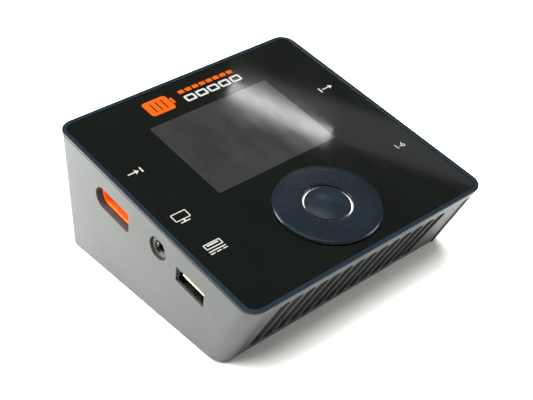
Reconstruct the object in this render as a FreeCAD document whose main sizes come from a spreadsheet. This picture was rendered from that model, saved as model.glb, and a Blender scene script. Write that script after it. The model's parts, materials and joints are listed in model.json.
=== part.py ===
import FreeCAD, Part
import math
import os
import re
import Sketcher
from FreeCAD import Placement, Rotation, Vector

# Balance battery charger: a wedge-shaped grey case under a glossy sloping control panel.
# Frame: origin at the middle of the footprint, +X right, -Y front, +Z up, millimetres.
# The panel, the boards and every port stand square to the panel's slope.

SIZES = {
    # case
    "width": 105, "depth": 105, "front_height": 32.1, "tilt": 10, "setback": 17.2, "foot_height": 0.8,
    "wall": 2.5, "corner_radius": 5.6, "back_lean": 2.8, "foot_edge_radius": 1.0, "seam_drop": 1.0,
    # vents in the leaning front face, measured down the face
    "vent_pitch": 5.43, "vent_radius": 2.25, "vent_top": 9.55, "vent_bottom": 31.8, "vent_lean": 9,
    "field_top": 4.2, "field_half_width": 47.0, "field_step": 0.5,
    # top cover and its glossy panel, as heights square to the slope
    "rim_width": 1.7, "rim_thick": 0.7, "rim_step": 1.1, "rim_step_front": 1.4, "step_depth": 1.7,
    "panel_drop": 0.35, "panel_thick": 0.8, "panel_gap": 0.1, "deck_depth": 2.55, "skirt_gap": 0.15,
    "skirt_thick": 1.5, "skirt_depth": 6.0, "skirt_back": 4.1,
    "skirt_front": 5.2, "deck_front": 3.7, "dial_clearance": 0.4,
    # display, placed along the slope
    "window_wide": 52.6, "window_long": 39.6, "window_centre": 68.2, "display_wide": 60.5,
    "display_long": 46.5, "display_thick": 3.0,
    # dial and button
    "dial_centre": 24.0, "dial_radius": 18.75, "dial_hole": 8.54, "dial_proud": 0.95, "dial_flange": 1.7,
    "button_radius": 7.9, "running_gap": 0.05, "bearing_wall": 1.6, "skirt_wall": 1.7,
    "wheel_radius": 15.0,
    # boards, as depths square to the slope
    "board_thick": 1.6, "control_depth": 5.6, "control_half": 44.0, "control_front": 7.2,
    "control_back": 60.0, "main_depth": 17.0, "main_half": 41.5, "main_front": 12.0, "main_back": 88.0,
    # ports, placed along the slope
    "power_s": 72.4, "power_depth": 12.05, "power_half": 9.55, "power_rise": 4.3, "power_inset": 2.3,
    "power_reach": 15.0, "power_cavity": 8.5, "pin_long": 15.5, "contact_bore": 9.0,
    "usb_s": 29.2, "usb_depth": 12.4, "usb_wide": 14.3, "usb_high": 6.0, "usb_inset": 0.7,
    "shell_wide": 13.4, "shell_high": 5.7, "shell_long": 14.0, "shell_wall": 0.3,
    "tongue_wide": 11.1, "tongue_thick": 1.8, "tongue_long": 10.5, "blade_wide": 1.5, "blade_long": 8.0,
    "jack_s": 46.5, "jack_port_depth": 9.7, "jack_radius": 4.0, "jack_bore": 1.8, "jack_inset": 0.8,
    "jack_mouth_radius": 2.7,
    "balance_s": 32.0, "balance_depth": 13.6, "balance_wide": 20.9, "balance_high": 6.4,
    "pin_radius": 1.75, "pin_spacing": 7.2,
    # cooling
    "fin_count": 12, "fin_pitch": 5.8, "fin_thick": 1.4, "fin_depth": 9.0, "sink_front": 24.0,
    "sink_back": 84.0, "sink_base": 3.0, "fan_size": 40, "fan_thick": 10, "fan_height": 23.5,
    "fan_bore": 19.0, "fan_screw_offset": 16, "grille_radius": 18.2, "grille_slot": 3.0, "grille_pitch": 5.0,
    "fan_hole_radius": 1.75, "fan_sink_radius": 3.0,
    # base plate, feet and fasteners
    "base_thick": 2.2, "base_gap": 0.15, "boss_radius": 3.4, "boss_top": 14.0, "boss_x": 45.0,
    "boss_front_y": -27.4, "boss_back_y": 42.6, "foot_radius": 5.0, "foot_recess": 0.7,
    "screw_radius": 1.45, "small_screw_radius": 1.0, "post_radius": 3.0,
}

os.makedirs("parts", exist_ok=True)
doc = FreeCAD.newDocument("charger")
sheet = doc.addObject("Spreadsheet::Sheet", "Sizes")
for row, (alias, number) in enumerate(SIZES.items(), 1):
    sheet.set("A%d" % row, alias)
    sheet.set("B%d" % row, str(number))
    sheet.setAlias("B%d" % row, alias)
doc.recompute()

nodes = []


# ---------------------------------------------------------------- expressions and places

def bound(text):
    """The expression with each size's name turned into a reference to its cell."""
    return re.sub(r"\b[a-z]\w*\b", lambda m: "Sizes." + m.group(0) if m.group(0) in SIZES else m.group(0),
                  str(text))


def value(text):
    """The number that an expression of size names has."""
    return float(sheet.evalExpression(bound(text)))


def bind(item, **expressions):
    """Tie properties of an object to expressions of the sheet's cells."""
    for prop, text in expressions.items():
        item.setExpression(prop, bound(text))


def at(x=0, y=0, z=0, turn=None, frame=Placement()):
    """A placement in the given frame, from numbers or expressions."""
    return frame.multiply(Placement(Vector(value(x), value(y), value(z)), turn or Rotation()))


X_AXIS = Vector(1, 0, 0)
Y_AXIS = Vector(0, 1, 0)
Z_AXIS = Vector(0, 0, 1)
ALONG_X = Rotation(Y_AXIS, 90)
AGAINST_X = Rotation(Y_AXIS, -90)

RIM = "(foot_height + front_height)"
# y of the front rim and of the back wall's top, with the leaning back's foot in the footprint
FRONT_Y = "(-(depth + back_lean) / 2)"
BACK_Y = "((depth - back_lean) / 2)"
# x across, y up the slope from the front rim, z square to the panel
SLOPE = at(0, FRONT_Y, RIM, Rotation(X_AXIS, value("tilt")))
# x across, y down the leaning front face from the rim, z into the case
LEAN = math.degrees(math.atan(value("setback / front_height")))
FRONT = at(0, FRONT_Y, RIM, Rotation(X_AXIS, LEAN - 90))
# x across, y up, z from the back wall's inner face into the case
FAN = at(0, BACK_Y + " - wall - 0.1", "fan_height", Rotation(X_AXIS, 90))
SLOPE_LONG = "(depth / cos(tilt) + 0.2)"


# ---------------------------------------------------------------- primitives and booleans

def box(label, length, width, height, place):
    item = doc.addObject("Part::Box", label)
    bind(item, Length=length, Width=width, Height=height)
    item.Placement = place
    return item


def centred_box(label, length, width, height, x, y, z, frame=SLOPE):
    """A box centred on x and y whose top face is at z."""
    return box(label, length, width, height,
               at("%s - (%s) / 2" % (x, length), "%s - (%s) / 2" % (y, width), "%s - (%s)" % (z, height),
                  frame=frame))


def rod(label, radius, height, place):
    item = doc.addObject("Part::Cylinder", label)
    bind(item, Radius=radius, Height=height)
    item.Placement = place
    return item


def cone(label, radius_low, radius_high, height, place):
    item = doc.addObject("Part::Cone", label)
    bind(item, Radius1=radius_low, Radius2=radius_high, Height=height)
    item.Placement = place
    return item


def fuse(label, shapes, place=Placement()):
    item = doc.addObject("Part::MultiFuse", label)
    item.Shapes = shapes
    item.Placement = place
    return item


def cut(label, base, tools, place=Placement()):
    item = doc.addObject("Part::Cut", label)
    item.Base = base
    item.Tool = tools[0] if len(tools) == 1 else fuse(label + "_cutter", tools)
    item.Placement = place
    return item


def group(label, shapes, place=Placement()):
    item = doc.addObject("Part::Compound", label)
    item.Links = shapes
    item.Placement = place
    return item


def edges_where(shape, wanted):
    return [i for i, edge in enumerate(shape.Edges, 1) if wanted(edge)]


def rounded(label, base, radius, wanted, place=None):
    """Fillet the edges of a primitive or boolean that pass a test."""
    doc.recompute()
    item = doc.addObject("Part::Fillet", label)
    item.Base = base
    size = value(radius)
    item.Edges = [(i, size, size) for i in edges_where(base.Shape, wanted)]
    item.Placement = place or Placement()
    return item


def node(item):
    """Keep an object as a sub-part that gets a file of its own."""
    nodes.append(item)
    return item


# ---------------------------------------------------------------- sketches and bodies

def new_body(label, place=Placement()):
    body = doc.addObject("PartDesign::Body", label)
    body.Placement = place
    return body


def origin_feature(body, role):
    return [f for f in body.Origin.OriginFeatures if f.Role == role][0]


def new_sketch(body, name, role="XY_Plane", offset=0):
    sketch = body.newObject("Sketcher::SketchObject", name)
    sketch.AttachmentSupport = (origin_feature(body, role), [""])
    sketch.MapMode = "FlatFace"
    sketch.AttachmentOffset = Placement(Vector(0, 0, value(offset)), Rotation())
    return sketch


def pin_point(sketch, geometry, end, x, y):
    """Fix one point of the sketch by two dimensions bound to the sheet."""
    for kind, text in (("DistanceX", x), ("DistanceY", y)):
        index = sketch.addConstraint(Sketcher.Constraint(kind, -1, 1, geometry, end, value(text)))
        sketch.setExpression("Constraints[%d]" % index, bound(text))


def outline(sketch, points):
    """A closed outline of straight lines through points given as pairs of expressions."""
    first = sketch.GeometryCount
    spots = [Vector(value(x), value(y), 0) for x, y in points]
    count = len(spots)
    for i in range(count):
        sketch.addGeometry(Part.LineSegment(spots[i], spots[(i + 1) % count]))
    for i in range(count):
        sketch.addConstraint(Sketcher.Constraint("Coincident", first + i, 2, first + (i + 1) % count, 1))
        pin_point(sketch, first + i, 1, *points[i])


def rectangle(sketch, x_low, x_high, y_low, y_high):
    outline(sketch, [(x_low, y_low), (x_high, y_low), (x_high, y_high), (x_low, y_high)])


def circle(sketch, x, y, radius):
    index = sketch.addGeometry(Part.Circle(Vector(value(x), value(y), 0), Z_AXIS, value(radius)))
    pin_point(sketch, index, 3, x, y)
    dimension = sketch.addConstraint(Sketcher.Constraint("Radius", index, value(radius)))
    sketch.setExpression("Constraints[%d]" % dimension, bound(radius))


def round_ended_slot(sketch, start, end, radius):
    """A slot between two end centres, as two arcs joined by tangent lines."""
    a = Vector(value(start[0]), value(start[1]), 0)
    b = Vector(value(end[0]), value(end[1]), 0)
    size = value(radius)
    along = b - a
    side = Vector(-along.y, along.x, 0).normalize() * size
    heading = math.atan2(side.y, side.x)
    arc_a = sketch.addGeometry(Part.ArcOfCircle(Part.Circle(a, Z_AXIS, size), heading, heading + math.pi))
    arc_b = sketch.addGeometry(Part.ArcOfCircle(Part.Circle(b, Z_AXIS, size), heading - math.pi, heading))
    line_a = sketch.addGeometry(Part.LineSegment(a - side, b - side))
    line_b = sketch.addGeometry(Part.LineSegment(b + side, a + side))
    for one, end_one, two, end_two in ((arc_a, 2, line_a, 1), (line_a, 2, arc_b, 1),
                                       (arc_b, 2, line_b, 1), (line_b, 2, arc_a, 1)):
        sketch.addConstraint(Sketcher.Constraint("Tangent", one, end_one, two, end_two))
    pin_point(sketch, arc_a, 3, *start)
    pin_point(sketch, arc_b, 3, *end)
    dimension = sketch.addConstraint(Sketcher.Constraint("Radius", arc_a, size))
    sketch.setExpression("Constraints[%d]" % dimension, bound(radius))


def pad(body, sketch, name, length, reverse=False, symmetric=False):
    feature = body.newObject("PartDesign::Pad", name)
    feature.Profile = sketch
    bind(feature, Length=length)
    feature.Reversed = reverse
    if symmetric:
        feature.SideType = "Symmetric"
    doc.recompute()
    return feature


def pocket(body, sketch, name, length, reverse=False):
    before = body.Shape.Volume
    feature = body.newObject("PartDesign::Pocket", name)
    feature.Profile = sketch
    bind(feature, Length=length)
    feature.Reversed = reverse
    doc.recompute()
    if body.Shape.Volume >= before - 1e-6:
        raise RuntimeError(name + " removes nothing")
    return feature


def revolve(body, points, name):
    """Turn an outline of (radius, height) points about the body's Z axis."""
    sketch = new_sketch(body, name + "_profile", "XZ_Plane")
    outline(sketch, points)
    feature = body.newObject("PartDesign::Revolution", name)
    feature.Profile = sketch
    feature.ReferenceAxis = (sketch, ["V_Axis"])
    feature.Angle = 360
    doc.recompute()
    return feature


def body_fillet(body, name, radius, wanted):
    base = body.Tip
    edges = ["Edge%d" % i for i in edges_where(body.Shape, wanted)]
    feature = body.newObject("PartDesign::Fillet", name)
    feature.Base = (base, edges)
    bind(feature, Radius=radius)
    doc.recompute()
    return feature


def is_upright(edge):
    """A straight edge that isn't across the case or along a horizontal."""
    run = edge.Vertexes[-1].Point - edge.Vertexes[0].Point
    return abs(run.z) > 0.5 * run.Length > 0.1


def d_block(label, half_length, rise, x, length, s, z, turn=ALONG_X):
    """A block along X with one full-round end, towards the back, and one square end."""
    tip = "(%s) - (%s)" % (half_length, rise)
    start = at(x, "%s - (%s)" % (s, half_length), "%s - (%s)" % (z, rise), frame=SLOPE)
    square = box(label + "_square", length, "2 * (%s) - (%s)" % (half_length, rise), "2 * (%s)" % rise, start)
    end = rod(label + "_round", rise, length, at(x, "%s + %s" % (s, tip), z, turn, SLOPE))
    whole = fuse(label + "_whole", [square, end])
    front_s = value(s) - value(half_length)

    def is_front_corner(edge):
        near = SLOPE.inverse().multVec(edge.CenterOfMass).y - front_s
        run = edge.Vertexes[-1].Point - edge.Vertexes[0].Point
        return abs(near) < 0.01 and abs(run.x) > 0.9 * run.Length
    return rounded(label, whole, 1.2, is_front_corner)


# ---------------------------------------------------------------- case

def case_profile(body, inset, low, high, half_width, radius, lean="0"):
    """A wedge as seen from the side, padded across the case, with round upright corners.

    The lean is how far the back's foot stands behind its top.
    """
    sketch = new_sketch(body, body.Label + "_side", "YZ_Plane")
    lean_inset = "(%s) * sqrt(setback ^ 2 + front_height ^ 2) / front_height" % inset
    front = FRONT_Y + " + setback * (%s) / front_height + " + lean_inset
    back = BACK_Y + " - (%s)" % inset
    top_rise = "(%s) - (%s)" % (high, RIM)
    front_high = "%s + (%s)" % (RIM, top_rise)
    back_high = front_high + " + depth * tan(tilt)"
    outline(sketch, [(front % ("%s - (%s)" % (RIM, front_high)), front_high),
                     (front % ("%s - (%s)" % (RIM, low)), low), ("%s + %s" % (back, lean), low),
                     (back, back_high)])
    pad(body, sketch, body.Label + "_pad", "2 * (%s)" % half_width, symmetric=True)
    body_fillet(body, body.Label + "_corners", radius, is_upright)


def vent_cutter():
    """The slanted vent slots of the front face, as one pattern."""
    body = new_body("vent_cutter", FRONT)
    sketch = new_sketch(body, "vent_slot", offset=-2)
    first = "-6.5 * vent_pitch"
    shift = "(vent_bottom - vent_top) * tan(vent_lean)"
    round_ended_slot(sketch, (first, "vent_top"), ("%s - %s" % (first, shift), "vent_bottom"), "vent_radius")
    slot = pad(body, sketch, "vent_depth", "wall + 5")
    pattern = body.newObject("PartDesign::LinearPattern", "vent_row")
    pattern.Originals = [slot]
    pattern.Direction = (origin_feature(body, "X_Axis"), [""])
    bind(pattern, Length="13 * vent_pitch")
    pattern.Occurrences = 14
    body.Tip = pattern
    return body


def grille_cutters():
    """Upright bars of the rear grille: slots whose length follows a circle."""
    cutters = []
    radius = value("grille_radius")
    for i in range(-3, 4):
        x = i * value("grille_pitch")
        chord = 2 * math.sqrt(radius ** 2 - (abs(x) + value("grille_slot") / 2) ** 2)
        bar = box("grille_bar_%d" % (i + 3), "grille_slot", "wall + back_lean + 2", chord,
                  at("%g - grille_slot / 2" % x, BACK_Y + " - wall - 1", "fan_height - %g" % (chord / 2)))
        cutters.append(rounded("grille_slot_%d" % (i + 3), bar, 1.4,
                               lambda edge: abs((edge.Vertexes[-1].Point - edge.Vertexes[0].Point).y) > 1))
    return cutters


def port_cutters():
    reach = "wall + 4"
    left = "-width / 2 - 2"
    right = "width / 2 - wall - 2"
    usb = box("usb_hole", reach, "usb_wide", "usb_high",
              at(left, "usb_s - usb_wide / 2", "-usb_depth - usb_high / 2", frame=SLOPE))
    jack = rod("jack_hole", "jack_radius + 0.3", reach,
               at(left, "jack_s", "-jack_port_depth", ALONG_X, SLOPE))
    balance = box("balance_hole", reach, "balance_wide", "balance_high",
                  at(right, "balance_s - balance_wide / 2", "-balance_depth - balance_high / 2", frame=SLOPE))
    power_in = d_block("input_hole", "power_half", "power_rise", left, "power_inset + 3.4", "power_s",
                       "-power_depth")
    power_out = d_block("output_hole", "power_half", "power_rise", "width / 2 - power_inset - 1.4",
                        "power_inset + 3.4", "power_s", "-power_depth")
    return [usb, jack, balance, power_in, power_out]


def boss_spots():
    return [(side, "boss_x * %d" % side, y) for side in (-1, 1) for y in ("boss_front_y", "boss_back_y")]


def main_case():
    outer = new_body("case_outside")
    case_profile(outer, "0", "foot_height", RIM + " - seam_drop", "width / 2", "corner_radius", "back_lean")
    body_fillet(outer, "case_foot_edge", "foot_edge_radius",
                lambda edge: edge.BoundBox.ZMax < value("foot_height") + 0.01)
    cavity = new_body("case_cavity")
    case_profile(cavity, "wall", "-1", RIM + " + 6", "width / 2 - wall", "corner_radius - wall")
    field = new_body("vent_field", FRONT)
    sketch = new_sketch(field, "vent_field_outline", offset=-3)
    rectangle(sketch, "-field_half_width", "field_half_width", "field_top", "field_top + 40")
    pad(field, sketch, "vent_field_depth", "3 + field_step")
    walls = cut("case_walls", outer, [cavity])

    adds = [walls]
    for n, (side, x, y) in enumerate(boss_spots()):
        low = "foot_height + base_thick + 0.1"
        adds.append(rod("boss_%d" % n, "boss_radius", "boss_top - (%s)" % low, at(x, y, low)))
        web_x = "boss_x" if side > 0 else "-width / 2 + wall / 2"
        adds.append(box("boss_web_%d" % n, "width / 2 - wall / 2 - boss_x", "2.4", "boss_top - (%s)" % low,
                        at(web_x, "%s - 1.2" % y, low)))
    for side, x in ((-1, "-width / 2 + wall / 2"), (1, "width / 2 - power_inset + 0.1")):
        adds.append(box("collar_%d" % (side > 0), "power_inset - 0.1 - wall / 2", "2 * power_half + 3",
                        "2 * power_rise + 3", at(x, "power_s - power_half - 1.5",
                                                 "-power_depth - power_rise - 1.5", frame=SLOPE)))
    shell = fuse("case_shell", adds)

    seat = plate("cover_seat", "rim_step - 0.1", "rim_step_front - 0.15", "rim_step - 0.1", 5,
                 "5 + step_depth + 0.05", "corner_radius - rim_step")
    tools = [field, vent_cutter(), seat] + port_cutters() + grille_cutters()
    for n, (side, x, y) in enumerate(boss_spots()):
        tools.append(rod("boss_pilot_%d" % n, "screw_radius", "boss_top - 2.5 - foot_height",
                         at(x, y, "foot_height")))
    for n, (x, z) in enumerate(fan_corners()):
        face = at(x, BACK_Y, z, Rotation(X_AXIS, 90))
        tools.append(rod("fan_hole_%d" % n, "fan_hole_radius", "wall + 2", face))
        tools.append(cone("fan_sink_%d" % n, "fan_sink_radius", "fan_hole_radius", 1.25, face))
        tools.append(rod("fan_counterbore_%d" % n, "fan_sink_radius", "back_lean + 1",
                         at(x, BACK_Y + " + back_lean + 1", z, Rotation(X_AXIS, 90))))
    return node(cut("main_case", shell, tools))


def fan_corners():
    return [("fan_screw_offset * %d" % i, "fan_height + fan_screw_offset * %d" % k)
            for i in (-1, 1) for k in (-1, 1)]


# ---------------------------------------------------------------- base plate, feet and screws

def foot_spots():
    return [("%s_%s" % (end, side), x, y) for end, y in (("front", -23.4), ("back", 40.6))
            for side, x in (("left", -36), ("right", 36))]


def post_spots():
    """Where the posts under the main board stand, on the slope."""
    return [(x, s) for x in (-37.5, 37.5) for s in (19, 85)]


def base_plate():
    top = "(foot_height + base_thick)"
    inner = "width / 2 - wall - base_gap"
    body = new_body("base_sheet")
    sketch = new_sketch(body, "base_outline", offset="foot_height")
    rectangle(sketch, "-(%s)" % inner, inner, FRONT_Y + " + setback + wall * 1.14 + 0.35",
              BACK_Y + " - wall - base_gap")
    pad(body, sketch, "base_pad", "base_thick")
    body_fillet(body, "base_corners", "corner_radius - wall", is_upright)
    adds = [body]
    tools = []
    for n, (x, s) in enumerate(post_spots()):
        under = "(%g * tan(tilt) + %s - (main_depth + board_thick) / cos(tilt))" % (s / math.cos(
            math.radians(value("tilt"))), RIM)
        length = "(%s - foot_height - 1) * cos(tilt)" % under
        adds.append(rod("post_%d" % n, "post_radius", length,
                        at(x, s, "-main_depth - board_thick - %s" % length, frame=SLOPE)))
        tools.append(rod("post_pilot_%d" % n, "screw_radius", 7,
                         at(x, s, "-main_depth - board_thick - 7", frame=SLOPE)))
    for n, (side, x, y) in enumerate(boss_spots()):
        tools.append(rod("base_hole_%d" % n, "screw_radius + 0.15", 4, at(x, y, 0)))
        tools.append(cone("base_sink_%d" % n, "2.95", "screw_radius + 0.15", 1.5, at(x, y, "foot_height")))
    for name, x, y in foot_spots():
        tools.append(rod("foot_seat_" + name, "foot_radius + 0.1", "foot_recess + 1",
                         at(x, y, "foot_height - 1")))
    for n in range(9):
        tools.append(box("base_vent_%d" % n, 3, 26, 4, at(6 * n - 25.5, -3.4, 0)))
    return node(cut("base_plate", fuse("base_body", adds), tools))


def foot(name, x, y):
    pad_rod = rod("foot_blank_" + name, "foot_radius", "foot_height + foot_recess", at(x, y, 0))
    return node(rounded("foot_" + name, pad_rod, 0.4, lambda e: e.BoundBox.ZMax < 0.01))


def countersunk_screw(label, radius, head_radius, head, length, place):
    """A screw along its own Z axis, its flat head at zero."""
    shank = rod(label + "_shank", radius, length, at(0, 0, 0))
    top = cone(label + "_head", head_radius, radius, head, at(0, 0, 0))
    drive = rod(label + "_drive", 0.9, 0.8, at(0, 0, -0.1))
    return cut(label, fuse(label + "_solid", [shank, top]), [drive], place)


def pan_screw(label, radius, length, place):
    """A screw along its own Z axis, its round head below zero."""
    shank = rod(label + "_shank", radius, length, at(0, 0, 0))
    top = rod(label + "_head", "1.75 * %s" % radius, "1.2 * %s" % radius, at(0, 0, "-1.2 * %s" % radius))
    drive = rod(label + "_drive", "0.6 * %s" % radius, 1, at(0, 0, "-1.2 * %s - 0.3" % radius))
    return cut(label, fuse(label + "_solid", [shank, top]), [drive], place)


def screw_groups():
    base = [countersunk_screw("base_screw_%d" % n, "screw_radius", 2.8, 1.4, 10,
                              at(x, y, "foot_height + 0.05"))
            for n, (side, x, y) in enumerate(boss_spots())]
    node(group("base_screws", base))
    upside_down = Rotation(X_AXIS, 180)
    board = [pan_screw("board_screw_%d" % n, "screw_radius", 7.5,
                       at(x, s, "-main_depth", upside_down, SLOPE))
             for n, (x, s) in enumerate(post_spots())]
    node(group("board_screws", board))
    control = [pan_screw("control_screw_%d" % n, "small_screw_radius", 4.5,
                         at(x, s, "-control_depth - board_thick", frame=SLOPE))
               for n, (x, s) in enumerate(control_spots())]
    node(group("control_board_screws", control))
    inwards = Rotation(X_AXIS, 90)
    fan = [countersunk_screw("fan_screw_%d" % n, 1.6, 2.8, 1.2, 9, at(x, BACK_Y + " - 0.05", z, inwards))
           for n, (x, z) in enumerate(fan_corners())]
    node(group("fan_screws", fan))


# ---------------------------------------------------------------- top cover, panel and display

def plate(name, side, front, back, z, thick, radius, inside=None):
    """A round-cornered plate on the slope, inset from the rim's edges, its top at z."""
    body = new_body(name, SLOPE)
    sketch = new_sketch(body, name + "_outline", offset=z)
    rectangle(sketch, "-width / 2 + (%s)" % side, "width / 2 - (%s)" % side, front,
              "%s - (%s)" % (SLOPE_LONG, back))
    if inside:
        rectangle(sketch, *inside)
    pad(body, sketch, name + "_pad", thick, reverse=True)
    limit = value("width / 2 - (%s)" % side)
    body_fillet(body, name + "_corners", radius,
                lambda e: is_upright(e) and abs(abs(e.CenterOfMass.x) - limit) < 0.01)
    return body


def control_spots():
    return [(x, s) for x in (-40, 40) for s in (9, 56)]


def top_cover():
    inner = "wall + skirt_gap"
    rim = plate("cover_rim", 0, 0, 0, 0, "rim_thick", "corner_radius")
    to_slope = SLOPE.inverse()
    body_fillet(rim, "cover_rim_edge", 0.35, lambda e: abs(to_slope.multVec(e.CenterOfMass).z) < 0.01)
    step = plate("cover_step", "rim_step", "rim_step_front", "rim_step", "-rim_thick",
                 "step_depth - rim_thick", "corner_radius - rim_step")
    deck = plate("cover_deck", inner, "deck_front", "skirt_back", "-step_depth",
                 "deck_depth - step_depth", "corner_radius - wall")
    skirt_inside = "(width / 2 - wall - skirt_gap - skirt_thick)"
    skirt = plate("cover_skirt", inner, "skirt_front", "skirt_back", "-deck_depth",
                  "skirt_depth - deck_depth", "corner_radius - wall",
                  ("-" + skirt_inside, skirt_inside, "skirt_front + skirt_thick",
                   SLOPE_LONG + " - skirt_back - skirt_thick"))
    tray = plate("cover_tray", "rim_width", "rim_width", "rim_width", 1, "1 + panel_drop + panel_thick",
                 "corner_radius - rim_width")
    posts = [rod("cover_post_%d" % n, 2.6, "control_depth - deck_depth + 0.4",
                 at(x, s, "-control_depth", frame=SLOPE))
             for n, (x, s) in enumerate(control_spots())]
    pilots = [rod("cover_pilot_%d" % n, "small_screw_radius", 3.0,
                  at(x, s, "-control_depth - 0.1", frame=SLOPE))
              for n, (x, s) in enumerate(control_spots())]
    dial_hole = rod("cover_dial_hole", 12, 6, at(0, "dial_centre", -4, frame=SLOPE))
    window = centred_box("cover_window", "window_wide + 1.4", "window_long + 1.4", 6, 0, "window_centre", 0)
    body = fuse("cover_body", [rim, step, deck, skirt] + posts)
    return node(cut("top_cover", body, [tray, dial_hole, window] + pilots))


def top_panel():
    inset = "rim_width + panel_gap"
    body = plate("top_panel", inset, inset, inset, "-panel_drop", "panel_thick", "corner_radius - rim_width")
    sketch = new_sketch(body, "panel_dial_hole", offset="-panel_drop")
    circle(sketch, 0, "dial_centre", "dial_radius + dial_clearance")
    pocket(body, sketch, "panel_dial_cut", "panel_thick + 1")
    return node(body)


def display():
    z = "-deck_depth - 0.05"
    tray = centred_box("display_tray", "display_wide", "display_long", "display_thick", 0, "window_centre", z)
    well = centred_box("display_well", "display_wide - 0.8", "display_long - 0.8", "display_thick", 0,
                       "window_centre", z + " + 0.4")
    node(cut("display_frame", tray, [well]))
    wide, long = "display_wide - 1.0", "display_long - 1.0"
    glass = centred_box("display_glass_sheet", wide, long, 1.1, 0, "window_centre", z + " - 0.05")
    node(rounded("display_glass", glass, 0.3, lambda e: e.Length < 2))
    light = centred_box("display_backlight_block", wide, long, 1.3, 0, "window_centre", z + " - 1.2")
    node(rounded("display_backlight", light, 0.3, lambda e: e.Length < 2))


# ---------------------------------------------------------------- dial, button and their switches

def dial():
    place = at(0, "dial_centre", 0, frame=SLOPE)
    bearing_out = "button_radius + running_gap + bearing_wall"
    bore = bearing_out + " + running_gap"
    hub = bore + " + skirt_wall"
    ring = new_body("dial_ring", place)
    low = "dial_proud - dial_flange"
    revolve(ring, [("dial_hole", 0), ("dial_hole", "dial_proud"), ("dial_radius", "dial_proud"),
                   ("dial_radius", low), (hub, low), (hub, -4.6), (bore, -4.6), (bore, 0)], "ring_turn")
    body_fillet(ring, "ring_outer_edge", 0.6, lambda e: is_rim_circle(e, place, "dial_radius", "dial_proud"))
    body_fillet(ring, "ring_inner_edge", 0.3, lambda e: is_rim_circle(e, place, "dial_hole", "dial_proud"))
    node(ring)

    wheel = new_body("encoder_wheel", place)
    revolve(wheel, [(hub, -4.4), ("wheel_radius", -4.4), ("wheel_radius", -3.8), (hub, -3.8)], "wheel_turn")
    notch = new_sketch(wheel, "wheel_notch_outline", offset=-3.7)
    rectangle(notch, "wheel_radius - 1.6", "wheel_radius + 1", -0.6, 0.6)
    slot = pocket(wheel, notch, "wheel_notch", 1)
    notches = wheel.newObject("PartDesign::PolarPattern", "wheel_notches")
    notches.Originals = [slot]
    notches.Axis = (origin_feature(wheel, "Z_Axis"), [""])
    notches.Occurrences = 24
    wheel.Tip = notches
    node(wheel)

    sleeve = new_body("dial_bearing", place)
    inside = "button_radius + running_gap"
    shoulder = "button_radius + 0.8"
    base = "-control_depth"
    revolve(sleeve, [(shoulder, base), (11.0, base), (11.0, "-control_depth + 0.6"),
                     (bearing_out, "-control_depth + 0.6"), (bearing_out, -0.3), (inside, -0.3),
                     (inside, -3.6), (shoulder, -3.6)], "bearing_turn")
    node(sleeve)
    node(centred_box("encoder_sensor", 5, 3.2, 0.9, 0, "dial_centre + 13.4", "-control_depth + 0.9"))


def is_rim_circle(edge, place, radius, height):
    """A circle about the dial's axis with the given radius and height."""
    if edge.Degenerated or not isinstance(edge.Curve, Part.Circle):
        return False
    centre = place.inverse().multVec(edge.Curve.Center)
    return abs(edge.Curve.Radius - value(radius)) < 0.01 and abs(centre.z - value(height)) < 0.01


def button():
    place = at(0, "dial_centre", 0, frame=SLOPE)
    body = new_body("button_blank", place)
    crown = 1.35
    edge = 0.45
    revolve(body, [(0, "-1.4"), (2, "-1.4"), (2, "-0.9"), ("button_radius - 1.5", "-0.9"),
                   ("button_radius - 1.5", "-4.6"), ("button_radius + 0.6", "-4.6"),
                   ("button_radius + 0.6", "-3.7"), ("button_radius", "-3.7"), ("button_radius", crown),
                   (0, crown)], "button_turn")
    # the dome: everything above a large sphere through the crown and the cap's edge is cut away
    radius = value("button_radius")
    ball_radius = (radius ** 2 + (crown - edge) ** 2) / (2 * (crown - edge))
    ball = doc.addObject("Part::Sphere", "button_dome")
    ball.Radius = ball_radius
    ball.Placement = at(0, 0, crown - ball_radius, frame=place)
    cap = doc.addObject("Part::Common", "centre_button")
    cap.Base = body
    cap.Tool = ball
    node(cap)

    case = centred_box("switch_case", 6.2, 6.2, 3.4, 0, "dial_centre", "-control_depth + 3.4")
    well = rod("switch_well", 1.75, 3, at(0, "dial_centre", -3.6, frame=SLOPE))
    node(cut("tact_switch", case, [well]))
    plunger = rod("plunger_rod", 1.7, 1.4, at(0, 0, 0))
    node(rounded("switch_plunger", plunger, 0.2, lambda e: e.BoundBox.ZMin > 1.3,
                 at(0, "dial_centre", -2.8, frame=SLOPE)))


# ---------------------------------------------------------------- boards and what they carry

def control_board():
    body = new_body("control_board", SLOPE)
    sketch = new_sketch(body, "control_outline", offset="-control_depth")
    notch = "display_wide / 2 + 0.6"
    outline(sketch, [("-control_half", "control_front"), ("control_half", "control_front"),
                     ("control_half", "control_back"), (notch, "control_back"), (notch, "43"),
                     ("-(%s)" % notch, "43"), ("-(%s)" % notch, "control_back"),
                     ("-control_half", "control_back"), ("-control_half", "jack_s + 5"),
                     (-36.8, "jack_s + 5"), (-36.8, "jack_s - 5"), ("-control_half", "jack_s - 5")])
    pad(body, sketch, "control_pad", "board_thick", reverse=True)
    holes = new_sketch(body, "control_holes", offset="-control_depth")
    for x, s in control_spots():
        circle(holes, x, s, "small_screw_radius + 0.15")
    pocket(body, holes, "control_hole_cut", "board_thick + 1")
    node(body)


def main_board():
    body = new_body("main_board", SLOPE)
    sketch = new_sketch(body, "main_outline", offset="-main_depth")
    rectangle(sketch, "-main_half", "main_half", "main_front", "main_back")
    pad(body, sketch, "main_pad", "board_thick", reverse=True)
    holes = new_sketch(body, "main_holes", offset="-main_depth")
    for x, s in post_spots():
        circle(holes, x, s, "screw_radius + 0.15")
    pocket(body, holes, "main_hole_cut", "board_thick + 1")
    node(body)


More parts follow.
